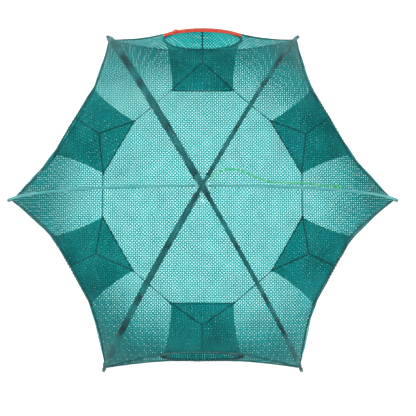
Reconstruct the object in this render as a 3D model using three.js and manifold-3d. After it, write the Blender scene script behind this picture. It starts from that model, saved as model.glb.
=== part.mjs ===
// A folding crab trap: a hexagonal net box that six bowed spring ribs hold open from above,
// with a net funnel on an upright wire ring in each side.
// Millimetres, +Z up. The trap stands on z = 0 and the hub is on the Z axis.
import * as THREE from 'three';
import { mergeVertices } from 'three/addons/utils/BufferGeometryUtils.js';
import Module from 'manifold-3d';

const wasm = await Module();
wasm.setup();

// Overall layout
const SIDES = 6;
const SECTOR = (2 * Math.PI) / SIDES;
const HALF_SECTOR = SECTOR / 2;
const TIP_RADIUS = 475;
const GAP = 0.4;

// How finely round and curved things are cut
const ROUND_SIDES = 24;
const WIRE_SIDES = 6;
const EYE_STEPS = 12;
const RING_STEPS = 28;
const TUBE_SIDES = 8;
const TIP_SIDES = 10;
const ROD_STEPS = 14;
const SLEEVE_STEPS = 9;
const STRING_STEPS = 4;
const CORD_STEPS = 40;
const ROOF_ROWS = 8;
const FLOOR_ROWS = 3;
const WALL_ROWS = 2;
const FUNNEL_ROWS = 3;
const FUNNEL_COLUMNS = 20;
const ZIP_STEPS = 16;

// Hub
const HUB_RADIUS = 15;
const HUB_BOTTOM = 254;
const HUB_TOP = 270;
const HUB_CHAMFER = 2.5;
const PIVOT_RADIUS = 10;
const PIVOT_HEIGHT = 262;
const SLOT_WIDTH = 4.2;
const SLOT_INNER = 4;
const SLOT_ROOF = 267;
const SLOT_BOTTOM = HUB_BOTTOM - 2;
const HINGE_WIRE_RADIUS = 1;
const HINGE_GROOVE_RADIUS = 1.3;

// Ribs: the bow is a cubic curve in the plane of the rib
const RIB_RADIUS = 1.8;
const RIB_BOW = [
  [PIVOT_RADIUS, PIVOT_HEIGHT],
  [200, 272],
  [425, 165],
  [TIP_RADIUS, 3],
];
const RIB_START = 0.006;
const RIB_END = 0.992;
const EYE_RADIUS = 3;
const EYE_WIRE_RADIUS = 1.35;
const TIP_RADIUS_OUTER = 4.5;
const TIP_CHAMFER = 1;
const TIP_LENGTH = 18;
const TIP_BORE_DEPTH = 13;
const LAST_STEP = 0.078;
const SLEEVE_OUTER = 5.5;
const SLEEVE_INNER = 3.4;
const SLEEVE_START = 0.035;
const SLEEVE_END = 0.955;

// Nets
const NET_THICKNESS = 0.8;
const ROOF_DROP = SLEEVE_OUTER + 2;
const ROOF_INNER_END = 0.03;
const ROOF_OUTER_END = 0.99;
const ROOF_RIDGE_POWER = 1.4;
const FLOOR_INNER_RADIUS = 4;

// Entry rings stand in planes that lean in a little at the top
const RING_RADIUS = 92.5;
const RING_WIRE_RADIUS = 1.5;
const RING_HEIGHT = 102;
// The nets draw the four slanting sides in further than the two sides across the Y axis
const RING_DISTANCES = [350, 374, 350, 350, 374, 350];
const RING_LEANS = [11, 2, 11, 5.5, 8, 5.5].map(THREE.MathUtils.degToRad);
const NET_TO_RING = 1.9;
const WALL_HOLE_RADIUS = RING_RADIUS + RING_WIRE_RADIUS + NET_TO_RING;
const EDGE_MARGIN = 6;
const EDGE_RADIUS = WALL_HOLE_RADIUS + EDGE_MARGIN;
const EDGE_POWER = 1.2;
const EDGE_OUT_POWER = 1.5;
const CORNER_HEIGHT = 6;
const WALL_TOP_GAP = 2.4;
const WALL_BOTTOM = NET_THICKNESS + 0.8;
const WALL_END_MARGIN = 5;

// Where the nets' edges bend, as shares of the way from a side's middle to its corner
const EDGE_SHARES = [1, 0.82, 0.64, 0.46, 0.29, 0.145, 0];

// Funnels and the strings that hold them out
const FUNNEL_MOUTH_RADIUS = RING_RADIUS - RING_WIRE_RADIUS - NET_TO_RING;
const FUNNEL_DEPTH = 122;
const SLIT_HALF_WIDTH = 72;
const SLIT_HALF_HEIGHT = 11;
const STRING_RADIUS = 0.9;
const STRING_GAP = 1.6;
const STRING_SAG = 3;

// Zip on the roof edge above one ring
const ZIP_SIDE = 1;
const ZIP_HALF_LENGTH = 92;
const ZIP_INNER_ROW = 0.974;
const ZIP_LIFT = 2.6;
const ZIP_THICKNESS = 1.2;
const SLIDER_ANGLE = THREE.MathUtils.degToRad(-38);
const SLIDER_SIZE = [9, 6, 3];
const SLIDER_LIFT = 3.4;

// Pull cord lying on the roof, ending in a knot: [x, y, height above the roof]
const SEARCH_STEPS = 30;
const LAST_COLUMN = 0.99;
const CORD_RADIUS = 1.5;
const CORD_ROUTE = [
  [20, 14, 10],
  [34, 30, 4.6],
  [56, 38, 3.2],
  [84, 36, 2.8],
  [120, 22, 2.6],
  [150, 13, 2.8],
  [190, 12, 2.8],
  [235, 13, 2.8],
  [275, 10, 2.8],
  [300, 9, 2.8],
];

const NET_COLOUR = 0x2a9a92;
const DARK_NET_COLOUR = 0x1c6f6b;
const STEEL_COLOUR = 0x8d9394;
const PLASTIC_COLOUR = 0x1f7a4f;
const ZIP_COLOUR = 0xe04a2c;
const CORD_COLOUR = 0x4fd68a;

// Geometry helpers

function solidOf(geometry) {
  const clean = geometry.clone();
  clean.deleteAttribute('normal');
  clean.deleteAttribute('uv');
  const welded = mergeVertices(clean, 1e-4);
  return new wasm.Manifold(new wasm.Mesh({
    numProp: 3,
    vertProperties: new Float32Array(welded.attributes.position.array),
    triVerts: new Uint32Array(welded.index.array),
  }));
}

function geometryOf(solid) {
  const mesh = solid.getMesh();
  const geometry = new THREE.BufferGeometry();
  geometry.setAttribute('position', new THREE.BufferAttribute(new Float32Array(mesh.vertProperties), 3));
  geometry.setIndex(new THREE.BufferAttribute(new Uint32Array(mesh.triVerts), 1));
  geometry.computeVertexNormals();
  return geometry;
}

// Signed volume of an indexed geometry, negative when its faces point inwards
function signedVolume(points, faces) {
  return faces.reduce((sum, [a, b, c]) => {
    const cross = new THREE.Vector3().crossVectors(points[b], points[c]);
    return sum + points[a].dot(cross);
  }, 0);
}

// A closed solid between two grids of points. Each cell is split along its shorter diagonal, and both
// grids along the same one, so that the two faces stay parallel
function slab(front, back, wraps) {
  const rows = front.length;
  const columns = front[0].length;
  const points = [...front.flat(), ...back.flat()];
  const far = rows * columns;
  const at = (row, column) => row * columns + (column % columns);
  const faces = [];
  const quad = (a, b, c, d) => faces.push([a, b, c], [a, c, d]);
  const lastColumn = wraps ? columns : columns - 1;
  for (let row = 0; row < rows - 1; row += 1) {
    for (let column = 0; column < lastColumn; column += 1) {
      const cell = [at(row, column), at(row, column + 1), at(row + 1, column + 1), at(row + 1, column)];
      const [p, q, r, t] = cell.map((corner) => points[corner]);
      const [a, b, c, d] = p.distanceTo(r) > q.distanceTo(t) ? [...cell.slice(1), cell[0]] : cell;
      quad(a, b, c, d);
      quad(a + far, d + far, c + far, b + far);
    }
  }
  const rim = (a, b) => quad(b, a, a + far, b + far);
  for (let column = 0; column < lastColumn; column += 1) {
    rim(at(0, column), at(0, column + 1));
    rim(at(rows - 1, column + 1), at(rows - 1, column));
  }
  if (!wraps) {
    for (let row = 0; row < rows - 1; row += 1) {
      rim(at(row + 1, 0), at(row, 0));
      rim(at(row, columns - 1), at(row + 1, columns - 1));
    }
  }
  const outward = signedVolume(points, faces) > 0 ? faces : faces.map((face) => [...face].reverse());
  const geometry = new THREE.BufferGeometry().setFromPoints(points);
  geometry.setIndex(outward.flat());
  geometry.computeVertexNormals();
  return geometry;
}

function circleShape(radius, sides) {
  const shape = new THREE.Shape();
  for (let k = 0; k <= sides; k += 1) {
    const angle = (2 * Math.PI * k) / sides;
    const method = k === 0 ? 'moveTo' : 'lineTo';
    shape[method](radius * Math.cos(angle), radius * Math.sin(angle));
  }
  return shape;
}

function tubeAlong(points, radius, sides, steps, boreRadius) {
  const shape = circleShape(radius, sides);
  if (boreRadius) {
    shape.holes.push(circleShape(boreRadius, sides));
  }
  const extrudePath = new THREE.CatmullRomCurve3(points, false, 'centripetal');
  return new THREE.ExtrudeGeometry(shape, { steps, extrudePath, bevelEnabled: false });
}

// Frames of reference

function radial(angle) {
  return new THREE.Vector3(Math.cos(angle), Math.sin(angle), 0);
}

function tangent(angle) {
  return new THREE.Vector3(-Math.sin(angle), Math.cos(angle), 0);
}

function ribAngle(i) {
  return SECTOR * i;
}

function sideAngle(j) {
  return SECTOR * j + HALF_SECTOR;
}

// Point on the bow at share s, moved square to it by offset, as [radius, height]
function bowPoint(s, offset = 0) {
  const weights = [(1 - s) ** 3, 3 * s * (1 - s) ** 2, 3 * s * s * (1 - s), s ** 3];
  const place = [0, 1].map((k) => weights.reduce((sum, w, n) => sum + w * RIB_BOW[n][k], 0));
  const slopes = [3 * (1 - s) ** 2, 6 * s * (1 - s), 3 * s * s];
  const way = [0, 1].map((k) => slopes.reduce((sum, w, n) => sum + w * (RIB_BOW[n + 1][k] - RIB_BOW[n][k]), 0));
  const length = Math.hypot(...way);
  return [place[0] - (offset * way[1]) / length, place[1] + (offset * way[0]) / length];
}

function bowVector(i, s, offset = 0) {
  const [radius, height] = bowPoint(s, offset);
  return radial(ribAngle(i)).multiplyScalar(radius).setZ(height);
}

// Point in the leaning plane of ring j: across, up and out from the ring's centre
function ringPlane(j, across, up, out = 0) {
  const angle = sideAngle(j);
  const outwards = RING_DISTANCES[j % SIDES] - up * Math.sin(RING_LEANS[j % SIDES]) + out;
  const place = radial(angle).multiplyScalar(outwards);
  place.addScaledVector(tangent(angle), across);
  return place.setZ(RING_HEIGHT + up * Math.cos(RING_LEANS[j % SIDES]));
}

const CORNER_RADIUS = bowPoint(ROOF_OUTER_END, -ROOF_DROP)[0];
const CORNER_ACROSS = CORNER_RADIUS * Math.sin(HALF_SECTOR);
const CORNER_DISTANCE = CORNER_RADIUS * Math.cos(HALF_SECTOR);

function cornerUp(j) {
  return (CORNER_HEIGHT - RING_HEIGHT) / Math.cos(RING_LEANS[j % SIDES]);
}

// The upper edge of a side is an arc over the ring, then a line from this point down to the corner
function arcEnd(j) {
  const span = Math.hypot(CORNER_ACROSS, cornerUp(j));
  const angle = Math.acos(EDGE_RADIUS / span) + Math.atan2(cornerUp(j), CORNER_ACROSS);
  return { across: EDGE_RADIUS * Math.cos(angle), up: EDGE_RADIUS * Math.sin(angle) };
}

function edgeUp(j, across) {
  const arc = arcEnd(j);
  const x = Math.abs(across);
  if (x <= arc.across) {
    return Math.sqrt(EDGE_RADIUS ** 2 - x ** 2);
  }
  const share = (CORNER_ACROSS - x) / (CORNER_ACROSS - arc.across);
  return cornerUp(j) + (arc.up - cornerUp(j)) * Math.max(share, 0) ** EDGE_POWER;
}

// How far an edge stands out from the ring's plane on its way to the corner
function edgeOut(j, across) {
  const x = Math.abs(across);
  const arc = arcEnd(j);
  const planeAtCorner = RING_DISTANCES[j % SIDES] - cornerUp(j) * Math.sin(RING_LEANS[j % SIDES]);
  const atCorner = CORNER_DISTANCE - planeAtCorner;
  const share = Math.max(x - arc.across, 0) / (CORNER_ACROSS - arc.across);
  return atCorner * share ** EDGE_OUT_POWER;
}

function roofEdge(j, across, drop = 0) {
  const up = edgeUp(j, across) - drop;
  return ringPlane(j, across, up, edgeOut(j, across));
}

function floorEdge(j, across, height) {
  const up = (height - RING_HEIGHT) / Math.cos(RING_LEANS[j % SIDES]);
  return ringPlane(j, across, up, edgeOut(j, across)).setZ(height);
}

// Where column t of a sector meets its outer edge: t = 0 at the corner, 1 and -1 at the next sides' middles
function sideOfColumn(i, t) {
  const j = t >= 0 ? i : i + SIDES - 1;
  const across = -Math.sign(t || 1) * CORNER_ACROSS * (1 - Math.abs(t));
  return { j, across };
}

// Moves the last columns of a sector off the plane they share with the next sector
function clearOfNeighbour(place, i, t) {
  if (Math.abs(t) === 1) {
    place.addScaledVector(tangent(ribAngle(i) + t * HALF_SECTOR), -Math.sign(t) * (GAP / 2));
  }
  return place;
}

// The roof of sector i at column t and row s, from the hub (s = 0) to the outer edge (s = 1)
function roofPoint(i, t, s, lift) {
  const bow = ROOF_INNER_END + (ROOF_OUTER_END - ROOF_INNER_END) * s;
  const [radius, height] = bowPoint(bow, -ROOF_DROP + lift);
  const [firstRadius, firstHeight] = bowPoint(ROOF_INNER_END, -ROOF_DROP + lift);
  const [lastRadius, lastHeight] = bowPoint(ROOF_OUTER_END, -ROOF_DROP + lift);
  const share = (radius - firstRadius) / (lastRadius - firstRadius);
  const ridge = height - (firstHeight + (lastHeight - firstHeight) * share);
  const { j, across } = sideOfColumn(i, t);
  const edge = t === 0 ? radial(ribAngle(i)).multiplyScalar(lastRadius).setZ(lastHeight) : roofEdge(j, across);
  const start = radial(ribAngle(i) + t * HALF_SECTOR).multiplyScalar(firstRadius);
  const place = start.lerp(edge, share);
  const edgeHeight = t === 0 ? lastHeight : edge.z + lift;
  place.z = firstHeight + (edgeHeight - firstHeight) * share + ridge * (1 - Math.abs(t)) ** ROOF_RIDGE_POWER;
  return clearOfNeighbour(place, i, t);
}

// Columns across a sector, from the middle of one side past the corner to the middle of the next
function sectorColumns() {
  const half = EDGE_SHARES.map((share) => 1 - share);
  return [...half.slice(1).reverse().map((t) => -t), ...half];
}

function rowsOf(count) {
  return Array.from({ length: count + 1 }, (_, k) => k / count);
}

// Parts

function ribGeometry(i) {
  const shares = rowsOf(ROD_STEPS).map((k) => RIB_START + (RIB_END - RIB_START) * k);
  const rod = tubeAlong(shares.map((s) => bowVector(i, s)), RIB_RADIUS, WIRE_SIDES, ROD_STEPS);
  const eye = new THREE.TorusGeometry(EYE_RADIUS, EYE_WIRE_RADIUS, WIRE_SIDES, EYE_STEPS);
  eye.rotateX(Math.PI / 2);
  eye.rotateZ(ribAngle(i));
  const pivot = radial(ribAngle(i)).multiplyScalar(PIVOT_RADIUS);
  eye.translate(pivot.x, pivot.y, PIVOT_HEIGHT);
  return geometryOf(solidOf(rod).add(solidOf(eye)));
}

function ribTipGeometry(i) {
  const bore = RIB_RADIUS + GAP;
  const profile = [
    [0, 0],
    [TIP_RADIUS_OUTER - TIP_CHAMFER, 0],
    [TIP_RADIUS_OUTER, TIP_CHAMFER],
    [TIP_RADIUS_OUTER, TIP_LENGTH],
    [bore, TIP_LENGTH],
    [bore, TIP_LENGTH - TIP_BORE_DEPTH],
    [0, TIP_LENGTH - TIP_BORE_DEPTH],
  ];
  const geometry = new THREE.LatheGeometry(profile.map(([x, y]) => new THREE.Vector2(x, y)), TIP_SIDES);
  const end = bowVector(i, RIB_END);
  const back = bowVector(i, RIB_END - LAST_STEP);
  const upwards = back.clone().sub(end).normalize();
  geometry.applyQuaternion(new THREE.Quaternion().setFromUnitVectors(new THREE.Vector3(0, 1, 0), upwards));
  const base = end.addScaledVector(upwards, -(TIP_LENGTH - TIP_BORE_DEPTH) - GAP);
  geometry.translate(base.x, base.y, base.z);
  return geometry;
}

function sleeveGeometry(i) {
  const shares = rowsOf(SLEEVE_STEPS).map((k) => SLEEVE_START + (SLEEVE_END - SLEEVE_START) * k);
  return tubeAlong(shares.map((s) => bowVector(i, s)), SLEEVE_OUTER, TUBE_SIDES, SLEEVE_STEPS, SLEEVE_INNER);
}

function roofGeometry(i) {
  const grid = (lift) => rowsOf(ROOF_ROWS).map((s) => sectorColumns().map((t) => roofPoint(i, t, s, lift)));
  return slab(grid(0), grid(-NET_THICKNESS), false);
}

function floorPoint(i, t, s, height) {
  const { j, across } = sideOfColumn(i, t);
  const start = radial(ribAngle(i) + t * HALF_SECTOR).multiplyScalar(FLOOR_INNER_RADIUS);
  const place = start.lerp(floorEdge(j, across, 0), s);
  return clearOfNeighbour(place.setZ(height), i, t);
}

function floorGeometry(i) {
  const grid = (height) => rowsOf(FLOOR_ROWS).map((s) => sectorColumns().map((t) => floorPoint(i, t, s, height)));
  return slab(grid(NET_THICKNESS), grid(0), false);
}

// A wall is a band between the ring's hole and the side's outline: over the top, then back along the floor
function wallGeometry(j) {
  const ends = CORNER_ACROSS - WALL_END_MARGIN;
  const half = EDGE_SHARES.map((share) => Math.min(share * CORNER_ACROSS, ends));
  const acrosses = [...half, ...half.slice(0, -1).reverse().map((across) => -across)];
  const turn = (k) => (Math.PI * (k + 0.5)) / acrosses.length;
  const top = acrosses.map((across, k) => [turn(k), roofEdge(j, across, WALL_TOP_GAP)]);
  const bottom = acrosses.map((across, k) => [turn(k) + Math.PI, floorEdge(j, -across, WALL_BOTTOM)]);
  const point = (angle, outline, share, out) => {
    const hole = ringPlane(j, WALL_HOLE_RADIUS * Math.cos(angle), WALL_HOLE_RADIUS * Math.sin(angle));
    return hole.lerp(outline, share).addScaledVector(radial(sideAngle(j)), out);
  };
  const row = (share, out) => [...top, ...bottom].map(([angle, outline]) => point(angle, outline, share, out));
  const grid = (out) => rowsOf(WALL_ROWS).map((share) => row(share, out));
  return slab(grid(NET_THICKNESS / 2), grid(-NET_THICKNESS / 2), true);
}

function ringGeometry(j) {
  const geometry = new THREE.TorusGeometry(RING_RADIUS, RING_WIRE_RADIUS, WIRE_SIDES, RING_STEPS);
  const basis = new THREE.Matrix4();
  const angle = sideAngle(j);
  const upwards = ringPlane(j, 0, 1).sub(ringPlane(j, 0, 0)).normalize();
  const across = tangent(angle);
  basis.makeBasis(across, upwards, new THREE.Vector3().crossVectors(across, upwards));
  basis.setPosition(ringPlane(j, 0, 0));
  return geometry.applyMatrix4(basis);
}

function funnelPoint(j, angle, share, inset) {
  const mouth = FUNNEL_MOUTH_RADIUS - inset;
  const across = THREE.MathUtils.lerp(mouth, SLIT_HALF_WIDTH - inset, share) * Math.cos(angle);
  const up = THREE.MathUtils.lerp(mouth, SLIT_HALF_HEIGHT - inset, share) * Math.sin(angle);
  return ringPlane(j, across, up, -FUNNEL_DEPTH * share);
}

function funnelGeometry(j) {
  const angles = Array.from({ length: FUNNEL_COLUMNS }, (_, k) => (2 * Math.PI * k) / FUNNEL_COLUMNS);
  const grid = (inset) => rowsOf(FUNNEL_ROWS).map((share) => angles.map((angle) => funnelPoint(j, angle, share, inset)));
  return slab(grid(0), grid(NET_THICKNESS), true);
}

// String i joins the slit corners of the two funnels beside rib i
function stringGeometry(i) {
  const reach = SLIT_HALF_WIDTH + STRING_GAP;
  const from = ringPlane(i + SIDES - 1, reach, 0, -FUNNEL_DEPTH);
  const to = ringPlane(i, -reach, 0, -FUNNEL_DEPTH);
  const middle = from.clone().lerp(to, 0.5);
  middle.z -= STRING_SAG;
  return tubeAlong([from, middle, to], STRING_RADIUS, WIRE_SIDES, STRING_STEPS);
}

function hubHalf(low, high) {
  const body = new THREE.CylinderGeometry(HUB_RADIUS, HUB_RADIUS, high - low, ROUND_SIDES);
  body.rotateX(Math.PI / 2);
  body.translate(0, 0, (high + low) / 2);
  let solid = solidOf(body);
  for (let i = 0; i < SIDES; i += 1) {
    const slot = new THREE.BoxGeometry(HUB_RADIUS, SLOT_WIDTH, SLOT_ROOF - SLOT_BOTTOM);
    slot.translate(SLOT_INNER + HUB_RADIUS / 2, 0, (SLOT_ROOF + SLOT_BOTTOM) / 2);
    slot.rotateZ(ribAngle(i));
    solid = solid.subtract(solidOf(slot));
  }
  const groove = new THREE.TorusGeometry(PIVOT_RADIUS, HINGE_GROOVE_RADIUS, WIRE_SIDES, ROUND_SIDES);
  groove.translate(0, 0, PIVOT_HEIGHT);
  return solid.subtract(solidOf(groove));
}

function hubBodyGeometry() {
  return geometryOf(hubHalf(HUB_BOTTOM, PIVOT_HEIGHT - GAP / 2));
}

function hubCapGeometry() {
  const profile = [
    [0, PIVOT_HEIGHT],
    [HUB_RADIUS, PIVOT_HEIGHT],
    [HUB_RADIUS, HUB_TOP - HUB_CHAMFER],
    [HUB_RADIUS - HUB_CHAMFER, HUB_TOP],
    [0, HUB_TOP],
  ];
  const dome = new THREE.LatheGeometry(profile.map(([x, y]) => new THREE.Vector2(x, y)), ROUND_SIDES);
  dome.rotateX(Math.PI / 2);
  return geometryOf(hubHalf(PIVOT_HEIGHT + GAP / 2, HUB_TOP).intersect(solidOf(dome)));
}

function hingeWireGeometry() {
  const geometry = new THREE.TorusGeometry(PIVOT_RADIUS, HINGE_WIRE_RADIUS, WIRE_SIDES, ROUND_SIDES);
  return geometry.translate(0, 0, PIVOT_HEIGHT);
}

// Point above the roof on the zip's side, at row s of the sector it is on
function zipPoint(across, s, lift) {
  const toNext = across <= 0;
  const t = 1 - Math.abs(across) / CORNER_ACROSS;
  return roofPoint(toNext ? ZIP_SIDE : ZIP_SIDE + 1, toNext ? t : -t, s, lift);
}

// Angle of the edge's outward direction from straight up
function edgeTilt(across) {
  const arc = arcEnd(ZIP_SIDE);
  const limited = THREE.MathUtils.clamp(across, -arc.across, arc.across);
  return Math.asin(limited / EDGE_RADIUS);
}

function zipTapeGeometry() {
  const places = rowsOf(ZIP_STEPS).map((k) => ZIP_HALF_LENGTH * (2 * k - 1));
  const grid = (lift) => places.map((x) => [1, ZIP_INNER_ROW].map((row) => zipPoint(x, row, lift)));
  return slab(grid(ZIP_LIFT + ZIP_THICKNESS), grid(ZIP_LIFT), false);
}

function zipSliderGeometry() {
  const across = -EDGE_RADIUS * Math.sin(SLIDER_ANGLE);
  const geometry = new THREE.BoxGeometry(...SLIDER_SIZE);
  const place = zipPoint(across, (1 + ZIP_INNER_ROW) / 2, ZIP_LIFT + ZIP_THICKNESS + SLIDER_LIFT);
  geometry.rotateY(-edgeTilt(across));
  return geometry.translate(place.x, place.y, place.z);
}

// Height of the roof of sector 0 above a point beside its rib
function roofHeightAt(x, y) {
  const reach = Math.hypot(x, y);
  const t = Math.min(Math.atan2(y, x) / HALF_SECTOR, LAST_COLUMN);
  let [low, high] = [0, 1];
  for (let k = 0; k < SEARCH_STEPS; k += 1) {
    const middle = (low + high) / 2;
    const place = roofPoint(0, t, middle, 0);
    [low, high] = Math.hypot(place.x, place.y) < reach ? [middle, high] : [low, middle];
  }
  return roofPoint(0, t, low, 0).z;
}

function cordGeometry() {
  const points = CORD_ROUTE.map(([x, y, above]) => new THREE.Vector3(x, y, roofHeightAt(x, y) + above));
  return tubeAlong(points, CORD_RADIUS, TUBE_SIDES, CORD_STEPS);
}

// Assembly

const group = new THREE.Group();

function add(name, geometry, color, metalness = 0) {
  const material = new THREE.MeshStandardMaterial({ color, metalness, roughness: metalness ? 0.4 : 0.8 });
  const mesh = new THREE.Mesh(geometry, material);
  mesh.name = name;
  group.add(mesh);
}

add('hub_body', hubBodyGeometry(), PLASTIC_COLOUR);
add('hub_cap', hubCapGeometry(), PLASTIC_COLOUR);
add('hinge_wire', hingeWireGeometry(), STEEL_COLOUR, 1);
for (let i = 0; i < SIDES; i += 1) {
  add(`rib_${i}`, ribGeometry(i), STEEL_COLOUR, 1);
  add(`rib_tip_${i}`, ribTipGeometry(i), PLASTIC_COLOUR);
  add(`rib_sleeve_${i}`, sleeveGeometry(i), DARK_NET_COLOUR);
  add(`roof_net_${i}`, roofGeometry(i), NET_COLOUR);
  add(`floor_net_${i}`, floorGeometry(i), NET_COLOUR);
  add(`wall_net_${i}`, wallGeometry(i), NET_COLOUR);
  add(`entry_ring_${i}`, ringGeometry(i), STEEL_COLOUR, 1);
  add(`funnel_net_${i}`, funnelGeometry(i), DARK_NET_COLOUR);
  add(`tie_string_${i}`, stringGeometry(i), DARK_NET_COLOUR);
}
add('zip_tape', zipTapeGeometry(), ZIP_COLOUR);
add('zip_slider', zipSliderGeometry(), ZIP_COLOUR);
add('pull_cord', cordGeometry(), CORD_COLOUR);

export default group;
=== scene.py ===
import math

import bpy
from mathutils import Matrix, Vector


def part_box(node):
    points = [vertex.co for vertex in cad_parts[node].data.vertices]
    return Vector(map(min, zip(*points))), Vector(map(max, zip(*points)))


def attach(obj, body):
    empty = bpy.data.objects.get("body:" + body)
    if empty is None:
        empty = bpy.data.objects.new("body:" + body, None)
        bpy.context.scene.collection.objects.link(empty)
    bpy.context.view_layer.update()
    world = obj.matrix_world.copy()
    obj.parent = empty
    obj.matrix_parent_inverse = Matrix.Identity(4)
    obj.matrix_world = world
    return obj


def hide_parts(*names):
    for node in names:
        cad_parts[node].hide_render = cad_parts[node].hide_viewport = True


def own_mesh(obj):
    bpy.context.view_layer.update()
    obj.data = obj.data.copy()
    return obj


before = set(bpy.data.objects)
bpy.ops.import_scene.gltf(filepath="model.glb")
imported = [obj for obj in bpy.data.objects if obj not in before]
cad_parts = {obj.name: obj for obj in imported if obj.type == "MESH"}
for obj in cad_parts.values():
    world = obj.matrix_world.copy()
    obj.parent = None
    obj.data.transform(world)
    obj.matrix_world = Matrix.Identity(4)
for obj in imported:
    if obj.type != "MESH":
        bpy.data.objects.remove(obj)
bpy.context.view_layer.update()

# The same driving sizes as in the CAD source, in metres
SIDES = 6
SECTOR = math.tau / SIDES
RIB_BOW = [(0.010, 0.262), (0.200, 0.272), (0.425, 0.165), (0.475, 0.003)]
ROOF_DROP = 0.0075
ROOF_SPAN = (0.03, 0.99)
ROOF_RIDGE_POWER = 1.4
RING_RADIUS = 0.0925
RING_WIRE = 0.0015
RING_HEIGHT = 0.102
RING_DISTANCES = [0.350, 0.374, 0.350, 0.350, 0.374, 0.350]
RING_LEANS = [math.radians(lean) for lean in (11, 2, 11, 5.5, 8, 5.5)]
HOLE_RADIUS = RING_RADIUS + RING_WIRE + 0.0019
EDGE_RADIUS = HOLE_RADIUS + 0.006
CORNER_HEIGHT = 0.006
FUNNEL_MOUTH = RING_RADIUS - RING_WIRE - 0.0019
FUNNEL_DEPTH = 0.122
SLIT = (0.072, 0.011)

# Radii of what is tied, sewn or whipped on
CORD_RADIUS = 0.0016
CORD_KNOT_RADIUS = 0.0015
STRING_RADIUS = 0.0011
STRING_KNOT_RADIUS = 0.0009
HEM_RADIUS = 0.0016
SEAM_RADIUS = 0.0019
LOW_LIP_RADIUS = 0.0017
STITCH_RADIUS = 0.0007
WHIP_RADIUS = 0.0009
WHIP_REACH = 0.0027
WHIP_TURNS, WHIP_STEPS = 70, 8

# How finely the nets are divided
ROOF_COLUMNS, ROOF_ROWS = 30, 34
FLOOR_ROWS = 16
HEM_COLUMNS = 36
WALL_COLUMNS, WALL_ROWS = 40, 6
FUNNEL_COLUMNS, FUNNEL_ROWS = 72, 16
LIP_STEPS = 40
SLEEVE_ROWS, SLEEVE_SIDES = 60, 14
COLLAR_COLUMNS = 48


# ---------- geometry helpers ----------

def radial(angle):
    return Vector((math.cos(angle), math.sin(angle), 0))


def tangent(angle):
    return Vector((-math.sin(angle), math.cos(angle), 0))


def rib_angle(i):
    return SECTOR * i


def side_angle(j):
    return SECTOR * (j + 0.5)


def bow(s, offset=0.0):
    w = ((1 - s) ** 3, 3 * s * (1 - s) ** 2, 3 * s * s * (1 - s), s**3)
    d = (3 * (1 - s) ** 2, 6 * s * (1 - s), 3 * s * s)
    x, z = (sum(w[n] * RIB_BOW[n][k] for n in range(4)) for k in (0, 1))
    dx, dz = (sum(d[n] * (RIB_BOW[n + 1][k] - RIB_BOW[n][k]) for n in range(3)) for k in (0, 1))
    long = math.hypot(dx, dz)
    return x - offset * dz / long, z + offset * dx / long


def bow_point(i, s, offset=0.0, aside=0.0):
    r, z = bow(s, offset)
    p = radial(rib_angle(i)) * r + tangent(rib_angle(i)) * aside
    return Vector((p.x, p.y, z))


def ring_plane(j, across, up, out=0.0):
    a = side_angle(j)
    lean = RING_LEANS[j % SIDES]
    p = radial(a) * (RING_DISTANCES[j % SIDES] - up * math.sin(lean) + out) + tangent(a) * across
    return Vector((p.x, p.y, RING_HEIGHT + up * math.cos(lean)))


CORNER_RADIUS = bow(ROOF_SPAN[1], -ROOF_DROP)[0]
CORNER_ACROSS = CORNER_RADIUS * math.sin(SECTOR / 2)
CORNER_DISTANCE = CORNER_RADIUS * math.cos(SECTOR / 2)
CORNER_UPS = [(CORNER_HEIGHT - RING_HEIGHT) / math.cos(lean) for lean in RING_LEANS]
ARC_ANGLES = [
    math.acos(EDGE_RADIUS / math.hypot(CORNER_ACROSS, up)) + math.atan2(up, CORNER_ACROSS)
    for up in CORNER_UPS
]


def edge_up(j, across):
    x, corner_up, arc = abs(across), CORNER_UPS[j % SIDES], ARC_ANGLES[j % SIDES]
    arc_across, arc_up = EDGE_RADIUS * math.cos(arc), EDGE_RADIUS * math.sin(arc)
    if x <= arc_across:
        return math.sqrt(EDGE_RADIUS**2 - x * x)
    return corner_up + (arc_up - corner_up) * max((CORNER_ACROSS - x) / (CORNER_ACROSS - arc_across), 0) ** 1.2


def edge_out(j, across):
    k = j % SIDES
    at_corner = CORNER_DISTANCE - (RING_DISTANCES[k] - CORNER_UPS[k] * math.sin(RING_LEANS[k]))
    arc_across = EDGE_RADIUS * math.cos(ARC_ANGLES[k])
    return at_corner * (max(abs(across) - arc_across, 0) / (CORNER_ACROSS - arc_across)) ** 1.5


def roof_edge(j, across, drop=0.0):
    return ring_plane(j, across, edge_up(j, across) - drop, edge_out(j, across))


def floor_edge(j, across, height):
    p = ring_plane(j, across, (height - RING_HEIGHT) / math.cos(RING_LEANS[j % SIDES]), edge_out(j, across))
    return Vector((p.x, p.y, height))


def side_of(i, t):
    """The side a sector's column t meets, and how far along it."""
    j = i if t >= 0 else i - 1
    return j, -math.copysign(1, t) * CORNER_ACROSS * (1 - abs(t))


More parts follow.
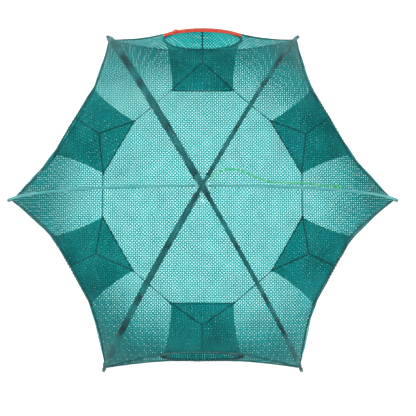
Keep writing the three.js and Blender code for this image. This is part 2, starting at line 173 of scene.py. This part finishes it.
def roof_point(i, t, s, lift=0.0, creased=True):
    at = ROOF_SPAN[0] + (ROOF_SPAN[1] - ROOF_SPAN[0]) * s
    (r, z), (r0, z0), (r1, z1) = (bow(x, -ROOF_DROP) for x in (at, *ROOF_SPAN))
    share = (r - r0) / (r1 - r0)
    ridge = z - (z0 + (z1 - z0) * share)
    j, across = side_of(i, t)
    edge = roof_edge(j, across) if t else Vector((*(radial(rib_angle(i)) * r1).xy, z1))
    p = (radial(rib_angle(i) + t * SECTOR / 2) * r0).lerp(edge, share)
    p.z = z0 + (edge.z - z0) * share + ridge * (1 - abs(t)) ** ROOF_RIDGE_POWER + lift
    if creased:
        far = abs(t) * (1 - abs(t)) * 4 * share * (1 - share) * 4
        near_corner = share**6 * abs(t) * 2.2 * math.exp(-(abs(t) * 3) ** 2)
        p.z -= 0.006 * far * (1 - abs(t))
        p.z += 0.0016 * far * math.sin(17 * abs(t) + 3 * i + 4 * share)
        p.z -= 0.004 * near_corner * (1 + math.sin(60 * abs(t) + i))
    return p


def mesh_object(name, points, faces, uvs=None, material=None, smooth=True):
    mesh = bpy.data.meshes.new(name)
    mesh.from_pydata([tuple(p) for p in points], [], faces)
    if uvs:
        layer = mesh.uv_layers.new(name="cloth")
        for loop in mesh.loops:
            layer.data[loop.index].uv = uvs[loop.vertex_index]
    mesh.validate()
    obj = bpy.data.objects.new(name, mesh)
    bpy.context.scene.collection.objects.link(obj)
    if material:
        mesh.materials.append(material)
    for polygon in mesh.polygons:
        polygon.use_smooth = smooth
    return obj


def grid_sheet(name, grid, uv_grid, material, wraps=False):
    rows, cols = len(grid), len(grid[0])
    faces = []
    for r in range(rows - 1):
        for c in range(cols if wraps else cols - 1):
            d = (c + 1) % cols
            faces.append((r * cols + c, r * cols + d, (r + 1) * cols + d, (r + 1) * cols + c))
    return mesh_object(name, [p for row in grid for p in row], faces, [u for row in uv_grid for u in row], material)


def band_faces(rows, sides):
    return [
        (k * sides + n, k * sides + (n + 1) % sides, (k + 1) * sides + (n + 1) % sides, (k + 1) * sides + n)
        for k in range(rows)
        for n in range(sides)
    ]


def tube(name, line, radius, material, sides=8, flat=1.0, up=Vector((0, 0, 1))):
    """A closed tube down a line of points; flat squeezes it towards up."""
    points = []
    for k, p in enumerate(line):
        way = (line[min(k + 1, len(line) - 1)] - line[max(k - 1, 0)]).normalized()
        side = way.cross(up).normalized()
        over = side.cross(way).normalized()
        for n in range(sides):
            a = math.tau * n / sides
            points.append(p + side * radius * math.cos(a) + over * radius * flat * math.sin(a))
    faces = band_faces(len(line) - 1, sides)
    faces.append(tuple(reversed(range(sides))))
    faces.append(tuple(range((len(line) - 1) * sides, len(line) * sides)))
    uvs = [(n / sides * math.tau * radius, k * 0.004) for k in range(len(line)) for n in range(sides)]
    return mesh_object(name, points, faces, uvs, material)


def steps(n, a=0.0, b=1.0):
    return [a + (b - a) * k / n for k in range(n + 1)]


# ---------- materials ----------

def new_material(name):
    material = bpy.data.materials.new(name)
    material.use_nodes = True
    tree = material.node_tree
    shader = tree.nodes["Principled BSDF"]
    return material, tree, shader


def math_node(tree, operation, a, b=None):
    node = tree.nodes.new("ShaderNodeMath")
    node.operation = operation
    for k, value in enumerate((a, b)):
        if value is None:
            continue
        if isinstance(value, (int, float)):
            node.inputs[k].default_value = value
        else:
            tree.links.new(value, node.inputs[k])
    return node.outputs[0]


def ramp_node(tree, value, low, high):
    """0 below low, 1 above high, and smooth between."""
    node = tree.nodes.new("ShaderNodeMapRange")
    node.interpolation_type = "SMOOTHSTEP"
    node.inputs["From Min"].default_value = low
    node.inputs["From Max"].default_value = high
    tree.links.new(value, node.inputs["Value"])
    return node.outputs["Result"]


def net_material(name, dark, light, pitch, thread, mottle=0.0, gather=0.0, tint=None, passes=0.0):
    """Knotted diamond mesh: thread is the share of the pitch that one thread covers, gather what it grows by
    towards the hems, where the threads are also painted darker and let less light through as painted shade, and
    passes the share of light that goes through a thread, coloured by tint."""
    material, tree, shader = new_material(name)
    uv = tree.nodes.new("ShaderNodeUVMap")
    uv.uv_map = "cloth"
    parts = tree.nodes.new("ShaderNodeSeparateXYZ")
    tree.links.new(uv.outputs[0], parts.inputs[0])
    u, v = parts.outputs[0], parts.outputs[1]
    wobble = tree.nodes.new("ShaderNodeTexNoise")
    wobble.inputs["Scale"].default_value = 24
    wobble.inputs["Detail"].default_value = 2
    tree.links.new(uv.outputs[0], wobble.inputs["Vector"])
    shift = math_node(tree, "MULTIPLY", math_node(tree, "SUBTRACT", wobble.outputs[0], 0.5), 0.5)
    lines = []
    for combine in ("ADD", "SUBTRACT"):
        along = math_node(tree, "DIVIDE", math_node(tree, combine, u, v), pitch * math.sqrt(2))
        along = math_node(tree, "ADD", along, shift)
        lines.append(math_node(tree, "ABSOLUTE", math_node(tree, "SUBTRACT", math_node(tree, "FRACT", along), 0.5)))
    width = thread / 2
    if mottle:
        patches = tree.nodes.new("ShaderNodeTexNoise")
        patches.inputs["Scale"].default_value = 38
        tree.links.new(uv.outputs[0], patches.inputs["Vector"])
        spread = math_node(tree, "MULTIPLY", patches.outputs[0], mottle)
        width = math_node(tree, "ADD", spread, thread / 2 - mottle / 2)
    shade = None
    if gather:
        squares = [math_node(tree, "MULTIPLY", way, way) for way in (u, v)]
        reach = math_node(tree, "SQRT", math_node(tree, "ADD", *squares))
        aside = ramp_node(tree, math_node(tree, "ABSOLUTE", v), 0.03, 0.2)
        shade = math_node(tree, "MULTIPLY", ramp_node(tree, reach, 0.25, 0.43), aside)
        width = math_node(tree, "ADD", math_node(tree, "MULTIPLY", shade, gather), width)
    threads = [math_node(tree, "LESS_THAN", line, width) for line in lines]
    knots = math_node(tree, "LESS_THAN", math_node(tree, "MAXIMUM", *lines), thread)
    mask = math_node(tree, "MAXIMUM", math_node(tree, "MAXIMUM", *threads), knots)
    ramp = tree.nodes.new("ShaderNodeValToRGB")
    ramp.color_ramp.elements[0].position, ramp.color_ramp.elements[1].position = 0.36, 0.64
    ramp.color_ramp.elements[0].color = (*dark, 1)
    ramp.color_ramp.elements[1].color = (*light, 1)
    tone = tree.nodes.new("ShaderNodeTexNoise")
    tone.inputs["Scale"].default_value = 16
    tone.inputs["Detail"].default_value = 8
    tree.links.new(uv.outputs[0], tone.inputs["Vector"])
    tree.links.new(tone.outputs[0], ramp.inputs[0])
    colour = ramp.outputs[0]
    # Painted shade: towards the hems the thread colour is darkened.
    if shade:
        deepen = tree.nodes.new("ShaderNodeMix")
        deepen.data_type = "RGBA"
        deepen.inputs["B"].default_value = (0.003, 0.12, 0.12, 1)
        tree.links.new(math_node(tree, "MULTIPLY", shade, 0.85), deepen.inputs["Factor"])
        tree.links.new(colour, deepen.inputs["A"])
        colour = deepen.outputs["Result"]
    tree.links.new(colour, shader.inputs["Base Color"])
    shader.inputs["Roughness"].default_value = 0.55
    shader.inputs["Specular IOR Level"].default_value = 0.2
    clear = tree.nodes.new("ShaderNodeBsdfTransparent")
    strand = shader.outputs[0]
    if tint:
        through = tree.nodes.new("ShaderNodeBsdfTransparent")
        through.inputs[0].default_value = (*tint, 1)
        filament = tree.nodes.new("ShaderNodeMixShader")
        filament.inputs[0].default_value = passes
        # Painted shade: towards the hems less light passes through the threads.
        if shade:
            left = math_node(tree, "SUBTRACT", 1, math_node(tree, "MULTIPLY", shade, 0.6))
            tree.links.new(math_node(tree, "MULTIPLY", left, passes), filament.inputs[0])
        tree.links.new(strand, filament.inputs[1])
        tree.links.new(through.outputs[0], filament.inputs[2])
        strand = filament.outputs[0]
    mix = tree.nodes.new("ShaderNodeMixShader")
    tree.links.new(mask, mix.inputs[0])
    tree.links.new(clear.outputs[0], mix.inputs[1])
    tree.links.new(strand, mix.inputs[2])
    tree.links.new(mix.outputs[0], tree.nodes["Material Output"].inputs[0])
    return material


def solid_material(name, dark, light, scale, roughness, metallic=0.0, bump=0.0, twist=None):
    """Mottled colour with small wear, and a twisted-strand bump when twist is its frequency."""
    material, tree, shader = new_material(name)
    place = tree.nodes.new("ShaderNodeTexCoord")
    noise = tree.nodes.new("ShaderNodeTexNoise")
    noise.inputs["Scale"].default_value = scale
    noise.inputs["Detail"].default_value = 6
    tree.links.new(place.outputs["Object"], noise.inputs["Vector"])
    ramp = tree.nodes.new("ShaderNodeValToRGB")
    ramp.color_ramp.elements[0].position, ramp.color_ramp.elements[1].position = 0.35, 0.68
    ramp.color_ramp.elements[0].color = (*dark, 1)
    ramp.color_ramp.elements[1].color = (*light, 1)
    tree.links.new(noise.outputs[0], ramp.inputs[0])
    tree.links.new(ramp.outputs[0], shader.inputs["Base Color"])
    shader.inputs["Roughness"].default_value = roughness
    shader.inputs["Metallic"].default_value = metallic
    height = noise.outputs[0]
    if twist:
        wave = tree.nodes.new("ShaderNodeTexWave")
        wave.inputs["Scale"].default_value = twist
        wave.inputs["Distortion"].default_value = 1.5
        tree.links.new(place.outputs["Object"], wave.inputs["Vector"])
        height = wave.outputs["Fac"]
    if bump:
        node = tree.nodes.new("ShaderNodeBump")
        node.inputs["Strength"].default_value = bump
        node.inputs["Distance"].default_value = 0.0006
        tree.links.new(height, node.inputs["Height"])
        tree.links.new(node.outputs[0], shader.inputs["Normal"])
    return material


CLEAR = (0.035, 0.64, 0.635)
NET = net_material("net", (0.003, 0.13, 0.13), (0.02, 0.42, 0.41), 0.0052, 0.26, 0.13, 0.22, CLEAR, 0.66)
WALL_NET = net_material("wall net", (0.003, 0.12, 0.12), (0.01, 0.26, 0.26), 0.0056, 0.34, 0.1, 0, CLEAR, 0.5)
# Painted shade: the funnel net is the net painted darker, for the shade inside the trap under the roof.
FUNNEL_CLEAR = (0.03, 0.6, 0.59)
FUNNEL_NET_PAINTED_SHADE = net_material(
    "funnel net painted shade", (0.001, 0.04, 0.04), (0.006, 0.15, 0.148), 0.0052, 0.44, 0.3, 0, FUNNEL_CLEAR, 0.74
)
SLEEVE_DARK = net_material("sleeve mesh", (0.001, 0.022, 0.026), (0.02, 0.22, 0.22), 0.005, 0.42, 0.9)
SLEEVE_LIGHT = net_material("sleeve mesh light", (0.06, 0.34, 0.335), (0.11, 0.42, 0.41), 0.003, 0.9)
THREAD = solid_material("seam thread", (0.001, 0.015, 0.018), (0.004, 0.06, 0.062), 120, 0.7, bump=0.6, twist=900)
HEM = solid_material("hem", (0.002, 0.07, 0.07), (0.01, 0.2, 0.2), 60, 0.7, bump=0.6, twist=700)
STRING = solid_material("tie string", (0.002, 0.06, 0.062), (0.009, 0.14, 0.14), 200, 0.7, bump=0.5, twist=1200)
STEEL = solid_material("spring steel", (0.03, 0.16, 0.16), (0.1, 0.28, 0.27), 90, 0.45, metallic=0.5, bump=0.2)
HUB_PLASTIC = solid_material("hub plastic", (0.13, 0.46, 0.45), (0.22, 0.58, 0.57), 160, 0.5, bump=0.2)
PLASTIC = solid_material("tip plastic", (0.004, 0.07, 0.07), (0.01, 0.14, 0.13), 160, 0.45, bump=0.2)
ZIP = solid_material("zip tape", (0.6, 0.04, 0.015), (0.82, 0.08, 0.03), 200, 0.7, bump=0.5, twist=1500)
ZIP_TEETH = solid_material("zip teeth", (0.62, 0.06, 0.02), (0.85, 0.12, 0.05), 300, 0.4, bump=0.2)
CORD = solid_material("braided cord", (0.06, 0.66, 0.22), (0.15, 0.88, 0.38), 260, 0.6, bump=0.8, twist=1600)


# ---------- camera, made first ----------

camera = bpy.data.objects.new("camera", bpy.data.cameras.new("camera"))
bpy.context.scene.collection.objects.link(camera)
bpy.context.scene.camera = camera
LOOK_AT = Vector((0.013, -0.030, 0.1))
DISTANCE = 2.25
ELEVATION = math.radians(83.4)
camera.location = LOOK_AT + Vector((0, -math.cos(ELEVATION), math.sin(ELEVATION))) * DISTANCE
camera.rotation_euler = (math.radians(90) - ELEVATION, 0, 0)
camera.data.sensor_width = 36
camera.data.lens = 83.0


# ---------- cords ----------

CORD_ROUTE = [
    (0.020, 0.014, 0.010),
    (0.034, 0.030, 0.0046),
    (0.056, 0.038, 0.0032),
    (0.084, 0.036, 0.0028),
    (0.120, 0.022, 0.0026),
    (0.150, 0.013, 0.0028),
    (0.190, 0.012, 0.0028),
    (0.235, 0.013, 0.0028),
    (0.275, 0.010, 0.0028),
    (0.300, 0.009, 0.0028),
]


def roof_height(x, y):
    reach = math.hypot(x, y)
    t = min(math.atan2(y, x) / (SECTOR / 2), 0.99)
    low, high = 0.0, 1.0
    for _ in range(30):
        middle = (low + high) / 2
        p = roof_point(0, t, middle)
        low, high = (middle, high) if math.hypot(p.x, p.y) < reach else (low, middle)
    return roof_point(0, t, low).z


def smooth_line(points, per_span=8):
    """A Catmull-Rom line through given points."""
    line = []
    for k in range(len(points) - 1):
        a, b, c, d = (points[max(0, min(k + n, len(points) - 1))] for n in (-1, 0, 1, 2))
        for q in range(per_span):
            t = q / per_span
            line.append(
                0.5 * ((2 * b) + (c - a) * t + (2 * a - 5 * b + 4 * c - d) * t * t + (3 * b - a - 3 * c + d) * t**3)
            )
    return line + [points[-1]]


cord_line = smooth_line([Vector((x, y, roof_height(x, y) + above)) for x, y, above in CORD_ROUTE])
pull_cord = tube("pull_cord_braid", cord_line, CORD_RADIUS, CORD, 10)
knot_centre = cord_line[-1] + Vector((0.004, 0, 0.0015))
knot_line = [
    knot_centre + Vector((0.0034 * math.sin(a), 0.0036 * math.cos(1.5 * a), 0.0022 * math.sin(2 * a + 0.6)))
    for a in steps(40, 0, math.tau * 1.9)
]
knot = tube("pull_cord_knot", knot_line, CORD_KNOT_RADIUS, CORD)
tail = tube(
    "pull_cord_tail",
    [knot_centre + Vector((0.003 + 0.012 * s, 0.002 - 0.004 * s, -0.0008 - 0.0045 * s)) for s in steps(6)],
    CORD_KNOT_RADIUS,
    CORD,
)
for piece in (pull_cord, knot, tail):
    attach(piece, "rib_arm_0")
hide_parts("pull_cord")

for i in range(SIDES):
    start = ring_plane(i - 1, SLIT[0] + 0.0016, 0, -FUNNEL_DEPTH)
    end = ring_plane(i, -SLIT[0] - 0.0016, 0, -FUNNEL_DEPTH)
    line = []
    for s in steps(16):
        p = start.lerp(end, s)
        p.z -= 0.003 * 4 * s * (1 - s)
        line.append(p)
    string = tube(f"tie_string_twine_{i}", line, STRING_RADIUS, STRING)
    ends = []
    for k, (here, along) in enumerate(((start, end - start), (end, start - end))):
        centre = here - along.normalized() * 0.001
        loop = [
            centre + Vector((0.0022 * math.cos(a), 0.0022 * math.sin(a), 0.0016 * math.sin(2 * a)))
            for a in steps(18, 0, math.tau * 1.7)
        ]
        ends.append(tube(f"tie_knot_{i}_{k}", loop, STRING_KNOT_RADIUS, STRING, 6))
    for piece in (string, *ends):
        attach(piece, f"entry_{i}")
        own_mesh(piece)
    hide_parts(f"tie_string_{i}")


# ---------- nets ----------


def columns(n):
    return [-1 + k / n for k in range(2 * n + 1)]


for i in range(SIDES):
    ts, ss = columns(ROOF_COLUMNS), steps(ROOF_ROWS)
    grid = [[roof_point(i, t, s) for t in ts] for s in ss]
    uv = [[(p.x, p.y) for p in row] for row in grid]
    roof = grid_sheet(f"roof_mesh_{i}", grid, uv, NET)
    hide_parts(f"roof_net_{i}")

    edge_line = [roof_point(i, t, 1.0, 0.0006, creased=False) for t in columns(HEM_COLUMNS)]
    hem = tube(f"roof_hem_{i}", edge_line, HEM_RADIUS, HEM)
    for piece in (roof, hem):
        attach(piece, f"rib_arm_{i}")
        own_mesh(piece)

    floor_grid = []
    for s in steps(FLOOR_ROWS):
        row = []
        for t in ts:
            j, across = side_of(i, t)
            p = (radial(rib_angle(i) + t * SECTOR / 2) * 0.004).lerp(floor_edge(j, across, 0), s)
            row.append(Vector((p.x, p.y, 0.0012 + 0.0006 * math.sin(40 * p.x + 3 * i) * math.sin(37 * p.y))))
        floor_grid.append(row)
    floor_uv = [[((p.x - p.y) * math.sqrt(0.5), (p.x + p.y) * math.sqrt(0.5)) for p in row] for row in floor_grid]
    floor_net = grid_sheet(f"floor_mesh_{i}", floor_grid, floor_uv, NET)
    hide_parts(f"floor_net_{i}")
    rim = []
    for t in columns(HEM_COLUMNS):
        j, across = side_of(i, t)
        rim.append(floor_edge(j, across, 0.0018))
    floor_hem = tube(f"floor_hem_{i}", rim, HEM_RADIUS, HEM)
    for piece in (floor_net, floor_hem):
        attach(piece, f"floor_panel_{i}")
        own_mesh(piece)

for j in range(SIDES):
    a = side_angle(j)
    out, along = radial(a), tangent(a)
    acrosses = [(CORNER_ACROSS - 0.003) * (1 - 2 * k / WALL_COLUMNS) for k in range(WALL_COLUMNS + 1)]
    turns = [math.pi * (k + 0.5) / (WALL_COLUMNS + 1) for k in range(WALL_COLUMNS + 1)]
    outline = [(g, roof_edge(j, across, 0.0012)) for g, across in zip(turns, acrosses)]
    outline += [(math.pi + g, floor_edge(j, -across, 0.002)) for g, across in zip(turns, acrosses)]
    grid = []
    for share in steps(WALL_ROWS):
        grid.append([
            ring_plane(j, HOLE_RADIUS * math.cos(g) * 0.985, HOLE_RADIUS * math.sin(g) * 0.985).lerp(p, share)
            + out * 0.003 * math.sin(9 * g + j) * share * (1 - share) * 4
            for g, p in outline
        ])
    uv = [[(p.dot(along), p.z) for p in row] for row in grid]
    wall = grid_sheet(f"wall_mesh_{j}", grid, uv, WALL_NET, wraps=True)
    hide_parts(f"wall_net_{j}")
    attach(wall, f"entry_{j}")
    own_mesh(wall)

    def funnel_point(angle, share, inset=0.0, j=j):
        mouth = FUNNEL_MOUTH - inset
        sag = 0.004 * math.sin(math.pi * share)
        across = (mouth + (SLIT[0] - inset - mouth) * share - sag) * math.cos(angle)
        up = (mouth + (SLIT[1] - inset - mouth) * share - sag) * math.sin(angle)
        return ring_plane(j, across, up, -FUNNEL_DEPTH * share)

    def lip(angle):
        """How deep the two arms of the Y seam lie on the upper panel."""
        return 1 - 0.47 * max(1 - abs(math.cos(angle)), 0) if math.sin(angle) > 0 else 1

    angles = [math.tau * k / FUNNEL_COLUMNS for k in range(FUNNEL_COLUMNS)]
    grid = [[funnel_point(g, s) for g in angles] for s in steps(FUNNEL_ROWS)]
    uv = [[(RING_RADIUS * g * (1 - 0.35 * s), s * 0.15) for g in angles] for s in steps(FUNNEL_ROWS)]
    funnel = grid_sheet(f"funnel_mesh_{j}", grid, uv, FUNNEL_NET_PAINTED_SHADE, wraps=True)
    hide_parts(f"funnel_net_{j}")
    top = math.pi / 2
    seam_line = [funnel_point(top, s, -0.0008) for s in steps(14, 0, lip(top))]
    arms_line = [funnel_point(g, lip(g), -0.0004) for g in steps(LIP_STEPS, 0, math.pi)]
    under_line = [funnel_point(g, 1, -0.0004) for g in steps(LIP_STEPS, math.pi, math.tau)]
    seam = tube(f"funnel_seam_{j}", seam_line, SEAM_RADIUS, THREAD)
    arms = tube(f"funnel_lip_{j}", arms_line, SEAM_RADIUS, THREAD)
    under = tube(f"funnel_lip_low_{j}", under_line, LOW_LIP_RADIUS, THREAD)
    for piece in (funnel, seam, arms, under):
        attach(piece, f"entry_{j}")
        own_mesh(piece)

    # The net is whipped onto the ring's wire
    wrap = []
    for k in range(WHIP_TURNS * WHIP_STEPS):
        g, w = math.tau * k / (WHIP_TURNS * WHIP_STEPS), math.tau * k / WHIP_STEPS
        reach = RING_RADIUS + WHIP_REACH * math.cos(w)
        wrap.append(ring_plane(j, reach * math.cos(g), reach * math.sin(g), WHIP_REACH * math.sin(w)))
    whip = tube(f"ring_whipping_{j}", wrap, WHIP_RADIUS, THREAD, 5, up=Vector((0.3, 0.2, 0.93)))
    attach(whip, f"entry_{j}")


# ---------- sleeves over the ribs ----------

SLEEVE_WIDTHS = [0.0030, 0.0040, 0.0074, 0.0030, 0.0062, 0.0040]
for i in range(SIDES):
    light = i in (0, 3)
    points, uvs = [], []
    for s in steps(SLEEVE_ROWS, 0.016, 0.965):
        width = SLEEVE_WIDTHS[i] * (1 + 0.16 * math.sin(23 * s + i) + 0.1 * math.sin(61 * s + 2 * i))
        taper = min(1, (0.985 - s) * 14)
        for n in range(SLEEVE_SIDES):
            g = math.tau * n / SLEEVE_SIDES
            aside = max(width * taper, 0.0028) * math.cos(g)
            points.append(bow_point(i, s, 0.0034 * math.sin(g), aside))
            uvs.append((g / math.tau * 0.024, s * 0.56))
    faces = band_faces(SLEEVE_ROWS, SLEEVE_SIDES)
    sleeve = mesh_object(f"sleeve_mesh_{i}", points, faces, uvs, SLEEVE_LIGHT if light else SLEEVE_DARK)
    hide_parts(f"rib_sleeve_{i}")
    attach(sleeve, f"rib_arm_{i}")
    if not light:
        for side in (-1, 1):
            line = [bow_point(i, s, -0.0008, side * SLEEVE_WIDTHS[i]) for s in steps(50, 0.02, 0.93)]
            stitch = tube(f"sleeve_stitch_{i}_{side + 1}", line, STITCH_RADIUS, THREAD, 6)
            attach(stitch, f"rib_arm_{i}")

# Collar of net between the hub and the roof
collar_height = roof_point(0, 0, 0, creased=False).z
COLLAR_INNER, COLLAR_OUTER = 0.0165, 0.031
last_turn = math.tau * (COLLAR_COLUMNS - 1) / COLLAR_COLUMNS
collar_grid = [
    [
        radial(g) * r + Vector((0, 0, collar_height + (COLLAR_OUTER - r) * 0.02))
        for g in steps(COLLAR_COLUMNS - 1, 0, last_turn)
    ]
    for r in steps(4, COLLAR_INNER, COLLAR_OUTER)
]
collar_uv = [[(p.x, p.y) for p in row] for row in collar_grid]
collar = grid_sheet("hub_collar", collar_grid, collar_uv, NET, wraps=True)
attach(collar, "hub")

# The ends of the dark sleeves cross over the hub
for k, i in enumerate((1, 2)):
    way = radial(rib_angle(i))
    line = [way * r + Vector((0, 0, 0.2735 + 0.0012 * k - 9.0 * r * r)) for r in steps(24, -0.026, 0.026)]
    band = tube(f"hub_wrap_{k}", line, SLEEVE_WIDTHS[i] * 0.9, SLEEVE_DARK, 14, flat=0.12)
    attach(band, "hub")


# ---------- zip ----------

ZIP_INNER_ROW = 0.94
ZIP_ROWS, ZIP_COLUMNS = 60, 6
ZIP_HALF_LENGTH = 0.092
TEETH = 75
TOOTH_CORNERS = [(-1, -1, 0), (1, -1, 0), (1, 1, 0), (-1, 1, 0), (-1, -1, 1), (1, -1, 1), (1, 1, 1), (-1, 1, 1)]
TOOTH_FACES = [(0, 3, 2, 1), (4, 5, 6, 7), (0, 1, 5, 4), (1, 2, 6, 5), (2, 3, 7, 6), (3, 0, 4, 7)]


def zip_point(across, s, lift):
    i, sign = (1, 1) if across <= 0 else (2, -1)
    t = sign * (1 - abs(across) / CORNER_ACROSS)
    return roof_point(i, t, s, lift, creased=False)


tape_grid = []
for k in steps(ZIP_ROWS):
    x = ZIP_HALF_LENGTH * (2 * k - 1)
    tape_grid.append([zip_point(x, 1 + (ZIP_INNER_ROW - 1) * w, 0.0026) for w in steps(ZIP_COLUMNS)])
tape_uv = [[(0.012 * w / ZIP_COLUMNS, 0.003 * r) for w in range(ZIP_COLUMNS + 1)] for r in range(ZIP_ROWS + 1)]
tape = grid_sheet("zip_tape_weave", tape_grid, tape_uv, ZIP)
solidify = tape.modifiers.new("thickness", "SOLIDIFY")
solidify.thickness = 0.0009
solidify.offset = 0
bpy.context.view_layer.objects.active = tape
tape.select_set(True)
bpy.ops.object.modifier_apply(modifier="thickness")
teeth_points, teeth_faces = [], []
for k in range(TEETH):
    x = -0.089 + 0.178 * k / (TEETH - 1)
    w = 0.3 + (0.03 if k % 2 else -0.03)
    centre = zip_point(x, 1 + (ZIP_INNER_ROW - 1) * w, 0.0036)
    base = len(teeth_points)
    for dx, dy, dz in TOOTH_CORNERS:
        teeth_points.append(centre + Vector((dx * 0.0008, dy * 0.0014, dz * 0.0011 - 0.0003)))
    for f in TOOTH_FACES:
        teeth_faces.append(tuple(base + v for v in f))
teeth = mesh_object("zip_teeth", teeth_points, teeth_faces, None, ZIP_TEETH, smooth=False)
for piece in (tape, teeth):
    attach(piece, "entry_1")
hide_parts("zip_tape")
low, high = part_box("zip_slider")
tab_start = (low + high) / 2 + Vector((0.003, 0, 0.0012))
tab_line = [tab_start + Vector((0.016 * s, -0.001 * s, 0.001 + 0.0035 * s)) for s in steps(6)]
tab = tube("zip_pull_tab", tab_line, 0.002, ZIP_TEETH, flat=0.45)
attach(tab, "zip_pull")


# ---------- CAD nodes that show ----------

for name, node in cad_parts.items():
    if node.hide_render:
        continue
    if name.startswith("hub"):
        look = HUB_PLASTIC
    elif name.startswith("rib_tip"):
        look = PLASTIC
    elif name == "zip_slider":
        look = ZIP_TEETH
    else:
        look = STEEL
    node.data.materials.clear()
    node.data.materials.append(look)
    for polygon in node.data.polygons:
        polygon.use_smooth = False


# ---------- floor and light ----------

ground_mesh = bpy.data.meshes.new("ground")
ground_mesh.from_pydata([(-6, -6, 0), (6, -6, 0), (6, 6, 0), (-6, 6, 0)], [], [(0, 1, 2, 3)])
ground = bpy.data.objects.new("ground", ground_mesh)
bpy.context.scene.collection.objects.link(ground)
ground_material, _, ground_shader = new_material("pale floor")
ground_shader.inputs["Base Color"].default_value = (0.93, 0.935, 0.94, 1)
ground_shader.inputs["Roughness"].default_value = 0.9
ground_shader.inputs["Emission Color"].default_value = (1, 1, 1, 1)
ground_shader.inputs["Emission Strength"].default_value = 0.55
ground_mesh.materials.append(ground_material)
for name, place, size, power in (
    ("key", (-0.9, 1.3, 2.6), 2.2, 26),
    ("fill", (1.6, -1.2, 2.4), 2.6, 16),
):
    light = bpy.data.lights.new(name, "AREA")
    light.size = size
    light.energy = power
    lamp = bpy.data.objects.new(name, light)
    lamp.location = place
    lamp.rotation_euler = (Vector((0, 0, 0)) - Vector(place)).to_track_quat("-Z", "Y").to_euler()
    bpy.context.scene.collection.objects.link(lamp)

world = bpy.data.worlds.new("studio")
bpy.context.scene.world = world
world.use_nodes = True
world.node_tree.nodes["Background"].inputs[0].default_value = (1, 1, 1, 1)
world.node_tree.nodes["Background"].inputs[1].default_value = 0.85
bpy.context.scene.view_settings.view_transform = "Standard"
bpy.context.scene.cycles.transparent_max_bounces = 16
